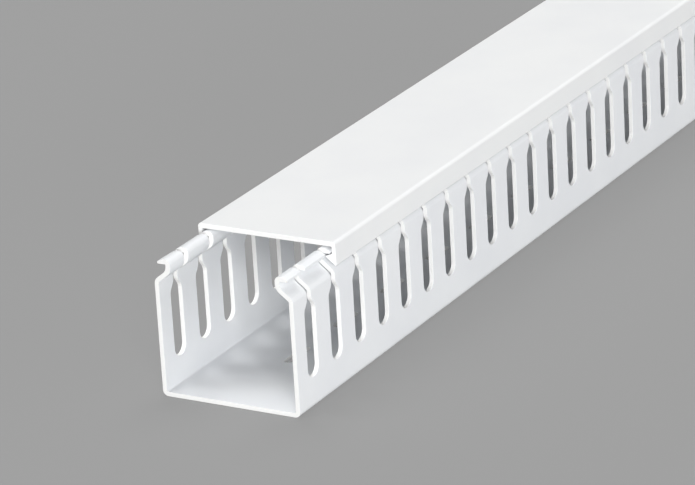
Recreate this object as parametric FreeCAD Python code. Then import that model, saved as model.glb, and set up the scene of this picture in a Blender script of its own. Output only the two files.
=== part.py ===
import FreeCAD, Part
import math
import os

# Slotted wiring raceway in rigid white plastic: an extruded channel with finger walls and its cover.
# X runs across the channel, Y along it from the end that the cover leaves bare, and Z up.
# The origin is the middle of the row of screw slots, on the channel's underside.

# Lengths along the stock
channel_length = 500.0
cover_length = 500.0
cover_setback = 36.0            # bare stretch of channel in front of the cover

# Channel section
channel_width = 65.0
wall = 2.0
floor_thickness = 2.0
shoulder_height = 51.2          # where the flat wall ends and the curled rim starts
bottom_outer_radius = 2.5
bottom_inner_radius = 0.8

# Curled rim above each wall, measured inward from the wall's outer face
rim_height = 9.5                # crown above the shoulder
rim_reach = 8.0                 # innermost side of the curl
rim_slope = 38.0                # degrees that the rim leans inward above the shoulder
rim_neck = 2.0                  # thickness of the leaning part
groove_depth = 5.8              # how far the clip groove reaches in
groove_radius = 4.0
lip_depth = 2.2                 # crown down to the lip's flat underside
lip_tip_depth = 1.0             # the lip's height at its outward tip
crown_radius = 2.4
lip_top_reach = 2.5             # lip's tip to where its top turns level
rim_bend_radius = 4.5

# Wall slots
slot_pitch = 20.0
slot_width = 8.8
slot_neck_width = 3.2           # the narrow way through the rim, which keeps wires in
slot_bottom = 13.5
slot_bottom_radius = 4.3
slot_neck_drop = 4.5            # below the shoulder, where the neck starts
slot_taper_height = 3.6
first_slot = 12.8               # front end to the first slot's centre
least_end_finger = 5.0

# Screw slots on the floor's centre line
screw_slot_pitch = 42.0
screw_slot_width = 4.4
screw_slot_length = 18.0
first_screw_slot = 54.5         # front end to the first screw slot's centre
least_screw_edge = 8.0

# Cover section
cover_thickness = 2.2
cover_gap = 0.4                 # rim crown to the cover's underside
leg_thickness = 1.8
leg_gap = 0.2                   # leg's inner face to the lip's tip
seat_gap = 1.1                  # barb to the leaning part of the rim
barb_end_gap = 1.1              # barb's point to the bottom of the groove
barb_point_height = 0.5
barb_rise = 1.3                 # how far the barb's top climbs back to the leg
cover_outer_radius = 1.5
cover_inner_radius = 0.4
barb_radius = 0.35

cut_margin = 1.0                # how far a cutter runs past what it cuts
side_share = 0.98               # the most of a side that the arcs at its two ends may take

half_width = channel_width / 2
crown_height = shoulder_height + rim_height
cover_underside = crown_height + cover_gap
cover_top = cover_underside + cover_thickness
slope_rise = math.tan(math.radians(rim_slope))
slope_length = 1 / math.cos(math.radians(rim_slope))


def pattern(first, pitch, half_size, edge):
    # Distances from the front end of every copy that leaves enough stock before the far end.
    count = int((channel_length - first - half_size - edge) / pitch) + 1
    return [first + number * pitch for number in range(count)]


wall_slots = pattern(first_slot, slot_pitch, slot_width / 2, least_end_finger)
screw_slots = pattern(first_screw_slot, screw_slot_pitch, screw_slot_length / 2, least_screw_edge)
front_end = -(screw_slots[0] + screw_slots[-1]) / 2


def rounded_wire(corners):
    # Closed wire through corners of (point, radius), where a radius of 0 leaves the corner sharp.
    # Two arcs that would meet on the side between them are both made smaller.
    count = len(corners)
    to_next = [corners[(index + 1) % count][0] - corners[index][0] for index in range(count)]
    half_angles = [to_next[index].getAngle(-to_next[index - 1]) / 2 for index in range(count)]
    setbacks = [radius / math.tan(half) for (point, radius), half in zip(corners, half_angles)]
    fits = []
    for index in range(count):
        wanted = setbacks[index] + setbacks[(index + 1) % count]
        fits.append(min(1, side_share * to_next[index].Length / wanted) if wanted else 1)
    arcs = []
    for index, (point, radius) in enumerate(corners):
        setback = setbacks[index] * min(fits[index - 1], fits[index])
        bend = setback * math.tan(half_angles[index])
        last_way = (-to_next[index - 1]).normalize()
        next_way = FreeCAD.Vector(to_next[index]).normalize()
        inward = (last_way + next_way).normalize()
        middle = point + inward * (bend / math.sin(half_angles[index]) - bend)
        arcs.append((point + last_way * setback, middle, point + next_way * setback))
    edges = []
    for index, (start, middle, end) in enumerate(arcs):
        if corners[index][1]:
            edges.append(Part.Arc(start, middle, end).toShape())
        edges.append(Part.LineSegment(end, arcs[(index + 1) % count][0]).toShape())
    return Part.Wire(edges)


def mirrored_section(half_outline, start, length):
    # The half outline is given as (inward from the wall's outer face, height, radius), for the +X side.
    right = [
        (FreeCAD.Vector(half_width - inward, start, height), radius)
        for inward, height, radius in half_outline
    ]
    left = [(FreeCAD.Vector(-point.x, start, point.z), radius) for point, radius in reversed(right)]
    return Part.Face(rounded_wire(right + left)).extrude(FreeCAD.Vector(0, length, 0))


def channel_section():
    lip_underside = crown_height - lip_depth
    lip_tip = leg_thickness + leg_gap
    groove_turn = shoulder_height + groove_depth * slope_rise
    inner_shoulder = shoulder_height + wall * slope_rise - rim_neck * slope_length
    inner_turn = inner_shoulder + (rim_reach - wall) * slope_rise
    half_outline = [
        (0, 0, bottom_outer_radius),
        (0, shoulder_height, 0),
        (groove_depth, groove_turn, groove_radius),
        (groove_depth, lip_underside, 0),
        (lip_tip, lip_underside, 0),
        (lip_tip, lip_underside + lip_tip_depth, 0),
        (lip_tip + lip_top_reach, crown_height, 0),
        (rim_reach, crown_height, crown_radius),
        (rim_reach, inner_turn, rim_bend_radius),
        (wall, inner_shoulder, 0),
        (wall, floor_thickness, bottom_inner_radius),
    ]
    return mirrored_section(half_outline, front_end, channel_length)


def slot_cutter(place):
    neck_start = shoulder_height - slot_neck_drop
    taper_start = neck_start - slot_taper_height
    side = [
        (slot_width / 2, slot_bottom, slot_bottom_radius),
        (slot_width / 2, taper_start, 0),
        (slot_neck_width / 2, neck_start, 0),
        (slot_neck_width / 2, crown_height + cut_margin, 0),
    ]
    start = -half_width - cut_margin
    far = [(FreeCAD.Vector(start, place + aside, height), radius) for aside, height, radius in side]
    near = [
        (FreeCAD.Vector(start, place - aside, height), radius)
        for aside, height, radius in reversed(side)
    ]
    return Part.Face(rounded_wire(far + near)).extrude(FreeCAD.Vector(-2 * start, 0, 0))


def screw_slot_cutter(place):
    radius = screw_slot_width / 2
    straight = screw_slot_length - screw_slot_width
    depth = floor_thickness + 2 * cut_margin
    near_end = FreeCAD.Vector(0, place - straight / 2, -cut_margin)
    far_end = FreeCAD.Vector(0, place + straight / 2, -cut_margin)
    middle = Part.makeBox(screw_slot_width, straight, depth, near_end - FreeCAD.Vector(radius, 0, 0))
    ends = [Part.makeCylinder(radius, depth, end) for end in (near_end, far_end)]
    return middle.fuse(ends).removeSplitter()


def slotted_channel():
    cutters = [slot_cutter(front_end + place) for place in wall_slots]
    cutters += [screw_slot_cutter(front_end + place) for place in screw_slots]
    return channel_section().cut(Part.makeCompound(cutters))


def clip_on_cover():
    # The barb's underside runs parallel to the rim's leaning part, at the seat gap.
    leg_tip = shoulder_height + seat_gap * slope_length
    barb_point = groove_depth - barb_end_gap
    barb_under = leg_tip + barb_point * slope_rise
    half_outline = [
        (0, cover_top, cover_outer_radius),
        (0, leg_tip, barb_radius),
        (barb_point, barb_under, barb_radius),
        (barb_point, barb_under + barb_point_height, barb_radius),
        (leg_thickness, barb_under + barb_point_height + barb_rise, barb_radius),
        (leg_thickness, cover_underside, cover_inner_radius),
    ]
    return mirrored_section(half_outline, front_end + cover_setback, cover_length)


def main():
    os.makedirs("parts", exist_ok=True)
    for name, shape in (("slotted_channel", slotted_channel()), ("clip_on_cover", clip_on_cover())):
        shape.exportStep(f"parts/{name}.step")
        box = shape.BoundBox
        print(name, "solids", len(shape.Solids), "valid", shape.isValid(), "volume", round(shape.Volume, 1))
        print("  from", [round(v, 2) for v in (box.XMin, box.YMin, box.ZMin)],
              "to", [round(v, 2) for v in (box.XMax, box.YMax, box.ZMax)])


main()
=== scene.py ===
import math
import bpy
import bmesh
from mathutils import Matrix, Vector


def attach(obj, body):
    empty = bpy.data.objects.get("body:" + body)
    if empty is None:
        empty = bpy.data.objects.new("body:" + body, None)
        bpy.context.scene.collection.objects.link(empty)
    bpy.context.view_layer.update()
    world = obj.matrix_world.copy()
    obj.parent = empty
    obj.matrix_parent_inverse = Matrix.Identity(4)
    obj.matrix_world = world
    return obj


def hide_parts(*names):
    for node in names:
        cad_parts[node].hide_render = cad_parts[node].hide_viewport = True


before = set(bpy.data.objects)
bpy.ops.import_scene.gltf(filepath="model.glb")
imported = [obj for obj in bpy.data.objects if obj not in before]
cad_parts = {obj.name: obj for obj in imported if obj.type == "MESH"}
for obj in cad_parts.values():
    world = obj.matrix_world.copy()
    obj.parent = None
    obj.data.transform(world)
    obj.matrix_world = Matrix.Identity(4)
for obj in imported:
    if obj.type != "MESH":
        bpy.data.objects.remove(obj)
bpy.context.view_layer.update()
mm = 0.001

# Camera, lights and floor

photoCamera = {
    "eye": (0.78482, -1.51188, 0.62455),  # metres
    "azimuth": 30.183,  # degrees, turned to the left of +Y
    "elevation": 20.685,
    "roll": -3.425,
    "focalPixels": 3922.7,
    "photoWidth": 695,  # pixels
    "sensorWidth": 36.0,  # mm
    "sees": (0.05, 20.0),  # nearest and farthest distance in metres
}

studio = {
    "lamps": {
        # name: place in metres, width and height of the softbox, watts, point it faces
        "overheadSoftbox": ((-0.34, 0.60, 2.18), (1.4, 1.2), 33.0, (0.0, 0.0, 0.06)),
        "leftSoftbox": ((-1.20, -1.20, 1.90), (1.2, 1.2), 19.0, (0.0, 0.0, 0.06)),
        "sideSoftbox": ((3.35, 0.10, 0.62), (5.5, 0.9), 58.0, (0.0, 0.0, 0.03)),
        "cameraSoftbox": ((3.10, -4.40, 0.95), (2.0, 1.0), 154.0, (0.0, 0.0, 0.03)),
        "highSoftbox": ((1.60, -2.60, 1.90), (1.2, 1.2), 33.0, (0.0, -0.05, 0.03)),
    },
    "worldStrength": 0.01,
    "worldColor": "#FFFFFF",
    "floorColor": "#A0A0A0",
    "floorSize": 9.0,  # metres
    "floorFlat": 0.7,  # share of the floor that the camera sees as plain colour
}


def linearColor(hexColor):
    values = [int(hexColor[i:i + 2], 16) / 255 for i in (1, 3, 5)]
    linear = [v / 12.92 if v <= 0.04045 else ((v + 0.055) / 1.055) ** 2.4 for v in values]
    return (*linear, 1.0)


def addNode(tree, kind, settings=None, links=None):
    # links: input name or number -> output socket of another node, or a plain value
    node = tree.nodes.new(kind)
    for name, value in (settings or {}).items():
        setattr(node, name, value)
    for name, value in (links or {}).items():
        if isinstance(value, bpy.types.NodeSocket):
            tree.links.new(value, node.inputs[name])
        else:
            node.inputs[name].default_value = value
    return node


def newMaterial(name):
    material = bpy.data.materials.new(name)
    material.use_nodes = True
    material.node_tree.nodes.clear()
    return material, material.node_tree


def makeCamera(settings):
    data = bpy.data.cameras.new("photoCamera")
    data.sensor_width = settings["sensorWidth"]
    data.lens = settings["focalPixels"] / settings["photoWidth"] * settings["sensorWidth"]
    data.clip_start, data.clip_end = settings["sees"]
    camera = bpy.data.objects.new("photoCamera", data)
    turn = Matrix.Rotation(math.radians(settings["azimuth"]), 4, "Z")
    tilt = Matrix.Rotation(math.radians(90 - settings["elevation"]), 4, "X")
    roll = Matrix.Rotation(math.radians(settings["roll"]), 4, "Z")
    camera.matrix_world = Matrix.Translation(settings["eye"]) @ turn @ tilt @ roll
    bpy.context.collection.objects.link(camera)
    bpy.context.scene.camera = camera


def makeLamp(name, place, size, watts, aim):
    data = bpy.data.lights.new(name, "AREA")
    data.shape = "RECTANGLE"
    data.size, data.size_y = size
    data.energy = watts
    lamp = bpy.data.objects.new(name, data)
    bpy.context.collection.objects.link(lamp)
    lamp.location = place
    lamp.rotation_euler = (Vector(aim) - lamp.location).to_track_quat("-Z", "Y").to_euler()


def floorMaterial(settings):
    # Matt painted board: one even grey. Where the camera or a mirrored ray meets it, most of it is
    # plain colour, which the lamps don't grade, and the rest takes the lamps' light and the shadow.
    material, tree = newMaterial("greyPaintedBoard")
    color = linearColor(settings["floorColor"])
    matt = addNode(tree, "ShaderNodeBsdfDiffuse", links={"Color": color})
    plain = addNode(tree, "ShaderNodeEmission", links={"Color": color, "Strength": 1.0})
    rays = addNode(tree, "ShaderNodeLightPath").outputs
    mirrored = addNode(tree, "ShaderNodeMath", {"operation": "MAXIMUM"},
                       {0: rays["Is Glossy Ray"], 1: rays["Is Transmission Ray"]})
    seen = addNode(tree, "ShaderNodeMath", {"operation": "MAXIMUM"},
                   {0: rays["Is Camera Ray"], 1: mirrored.outputs[0]})
    share = addNode(tree, "ShaderNodeMath", {"operation": "MULTIPLY"},
                    {0: seen.outputs[0], 1: settings["floorFlat"]})
    mix = addNode(tree, "ShaderNodeMixShader",
                  links={0: share.outputs[0], 1: matt.outputs[0], 2: plain.outputs[0]})
    addNode(tree, "ShaderNodeOutputMaterial", links={"Surface": mix.outputs[0]})
    return material


def makeStage(settings):
    world = bpy.data.worlds.new("softRoom")
    world.use_nodes = True
    background = world.node_tree.nodes["Background"]
    background.inputs["Color"].default_value = linearColor(settings["worldColor"])
    background.inputs["Strength"].default_value = settings["worldStrength"]
    bpy.context.scene.world = world
    for name, lamp in settings["lamps"].items():
        makeLamp(name, *lamp)
    sheet = bmesh.new()
    bmesh.ops.create_grid(sheet, x_segments=1, y_segments=1, size=settings["floorSize"] / 2)
    mesh = bpy.data.meshes.new("floor")
    sheet.to_mesh(mesh)
    sheet.free()
    floor = bpy.data.objects.new("floor", mesh)
    bpy.context.collection.objects.link(floor)
    mesh.materials.append(floorMaterial(settings))


# Extruded rigid PVC

channelPlastic = {
    "color": "#E6E8EA",
    "deepColor": "#E2E4E7",
    "cutColor": "#FCFCFB",
    "roughness": 0.78,
    "cutRoughness": 0.85,
    "refraction": 1.53,
    "cloudRange": (0.35, 0.65),  # noise values that turn fully to the one and the other shade
    "patterns": {
        # name: size of the pattern across X, Y and Z in mm, detail of the noise
        "cloud": ((40.0, 40.0, 40.0), 3.0),  # patches of slightly other shade
        "dieLines": ((0.8, 150.0, 0.8), 3.0),  # faint lines that the die leaves along the stock
        "grain": ((0.5, 0.5, 0.5), 2.0),  # satin grain
        "toolMarks": ((2.5, 0.25, 0.75), 2.0),  # marks that the punch and the saw leave
    },
    "heights": {"dieLines": 0.010, "grain": 0.004, "toolMarks": 0.01},  # mm
}
coverPlastic = dict(channelPlastic, color="#EAEBEB", deepColor="#E7E8E9", roughness=0.78)


def extrudedPvc(name, settings):
    # Rigid PVC, drawn through a die and cooled in a water bath: a dull white skin with faint lines
    # along the stock. Sawn and punched faces, which carry the attribute cutFace, are paler and rougher.
    material, tree = newMaterial(name)
    place = addNode(tree, "ShaderNodeTexCoord").outputs["Object"]
    cut = addNode(tree, "ShaderNodeAttribute", {"attribute_name": "cutFace"}).outputs["Fac"]
    patterns = {}
    for pattern, (sizes, detail) in settings["patterns"].items():
        scale = tuple(1 / (size * mm) for size in sizes)
        stretched = addNode(tree, "ShaderNodeMapping", links={"Vector": place, "Scale": scale})
        noise = addNode(tree, "ShaderNodeTexNoise",
                        links={"Vector": stretched.outputs[0], "Scale": 1.0, "Detail": detail})
        patterns[pattern] = noise.outputs["Fac"]
    low, high = settings["cloudRange"]
    shade = addNode(tree, "ShaderNodeMapRange",
                    links={"Value": patterns["cloud"], "From Min": low, "From Max": high})
    skin = addNode(tree, "ShaderNodeMix", {"data_type": "RGBA"},
                   {0: shade.outputs[0], 6: linearColor(settings["color"]),
                    7: linearColor(settings["deepColor"])})
    color = addNode(tree, "ShaderNodeMix", {"data_type": "RGBA"},
                    {0: cut, 6: skin.outputs[2], 7: linearColor(settings["cutColor"])})
    rough = addNode(tree, "ShaderNodeMapRange",
                    links={"Value": cut, "To Min": settings["roughness"],
                           "To Max": settings["cutRoughness"]})
    relief = {}
    for pattern, height in settings["heights"].items():
        strength = cut if pattern == "toolMarks" else 1.0
        bump = addNode(tree, "ShaderNodeBump",
                       links={"Height": patterns[pattern], "Distance": height * mm,
                              "Strength": strength, **relief})
        relief = {"Normal": bump.outputs[0]}
    plastic = addNode(tree, "ShaderNodeBsdfPrincipled",
                      links={"Base Color": color.outputs[2], "Roughness": rough.outputs[0],
                             "IOR": settings["refraction"], **relief})
    addNode(tree, "ShaderNodeOutputMaterial", links={"Surface": plastic.outputs[0]})
    return material


# Pieces

channelFinish = {
    "node": "slotted_channel",
    "piece": "channelWithSlots",
    "slot": "channel",
    "mergeWithin": 0.002,  # mm between points that become one
    "flatWithin": 0.4,  # degrees between faces that become one
    "sharpFrom": 22.0,  # degrees between the faces of an edge that is rounded
    "bends": [
        # edge direction, least and most height in mm, radius in mm, segments
        ("Y", 51.0, 51.4, 1.6, 5),  # the wall rolls over into the rim
        ("X", 43.0, 47.6, 1.3, 4),  # the slots narrow in a curve
    ],
    "edgeRound": 0.16,  # mm
    "edgeSegments": 2,
    "normalWeight": 100,  # how fully large faces set the shading of their edges
}
coverFinish = dict(channelFinish, node="clip_on_cover", piece="coverStrip", slot="cover", bends=[],
                   edgeRound=0.12)
straightShare = 0.999  # of an edge's length that lies along the direction of its bend
cutFaces = {
    "endLean": 0.05,  # a face that leans this much along the stock is cut
    "slotFlat": {"pastX": 30.0, "low": 13.0, "high": 14.0, "upward": 0.9},  # mm, mm, mm, share
    "screwSide": {"withinX": 3.0, "low": 0.1, "high": 1.9},  # mm
}


def roundEdges(work, edges, offset, segments):
    bmesh.ops.bevel(work, geom=edges, offset=offset * mm, offset_type="OFFSET", segments=segments,
                    profile=0.5, affect="EDGES", material=-1, clamp_overlap=False)


def sharpEdges(work, degrees):
    return [edge for edge in work.edges
            if len(edge.link_faces) == 2 and edge.calc_face_angle() > math.radians(degrees)]


def edgesOfBend(work, direction, low, high, degrees):
    axis = "XYZ".index(direction)
    found = []
    for edge in sharpEdges(work, degrees):
        ends = [vert.co for vert in edge.verts]
        along = (ends[1] - ends[0]).normalized()[axis]
        if abs(along) > straightShare and all(low * mm < end.z < high * mm for end in ends):
            found.append(edge)
    return found


def markCutFaces(work):
    # Skin faces run along the stock. All others are sawn or punched, as are the flats at the slots'
    # lower ends and the long sides of the screw slots.
    layer = work.faces.layers.float.new("cutFace")
    flat, side = cutFaces["slotFlat"], cutFaces["screwSide"]
    for face in work.faces:
        middle = face.calc_center_median() / mm
        atSlot = abs(middle.x) > flat["pastX"] and flat["low"] < middle.z < flat["high"]
        slotFlat = atSlot and face.normal.z > flat["upward"]
        screwSide = abs(middle.x) < side["withinX"] and side["low"] < middle.z < side["high"]
        face[layer] = float(abs(face.normal.y) > cutFaces["endLean"] or slotFlat or screwSide)


def finishedExtrusion(settings, material):
    # The CAD piece again, with the small rounding that punching, sawing and handling leave on edges.
    work = bmesh.new()
    work.from_mesh(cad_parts[settings["node"]].data)
    bmesh.ops.remove_doubles(work, verts=work.verts, dist=settings["mergeWithin"] * mm)
    bmesh.ops.dissolve_limit(work, angle_limit=math.radians(settings["flatWithin"]),
                             verts=work.verts, edges=work.edges)
    markCutFaces(work)
    for direction, low, high, radius, segments in settings["bends"]:
        bend = edgesOfBend(work, direction, low, high, settings["sharpFrom"])
        roundEdges(work, bend, radius, segments)
    edges = sharpEdges(work, settings["sharpFrom"])
    roundEdges(work, edges, settings["edgeRound"], settings["edgeSegments"])
    for face in work.faces:
        face.smooth = True
    mesh = bpy.data.meshes.new(settings["piece"])
    work.to_mesh(mesh)
    work.free()
    mesh.materials.append(material)
    piece = bpy.data.objects.new(settings["piece"], mesh)
    bpy.context.collection.objects.link(piece)
    normals = piece.modifiers.new("faceNormals", "WEIGHTED_NORMAL")
    normals.keep_sharp = True
    normals.weight = settings["normalWeight"]
    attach(piece, "root")
    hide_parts(settings["node"])
    print(settings["piece"], len(mesh.polygons), "faces")


makeCamera(photoCamera)
makeStage(studio)
print("camera, lamps and floor made")
finishedExtrusion(channelFinish, extrudedPvc("extrudedPvcChannel", channelPlastic))
finishedExtrusion(coverFinish, extrudedPvc("extrudedPvcCover", coverPlastic))
print("pieces made")

bpy.context.scene.view_settings.view_transform = "Standard"
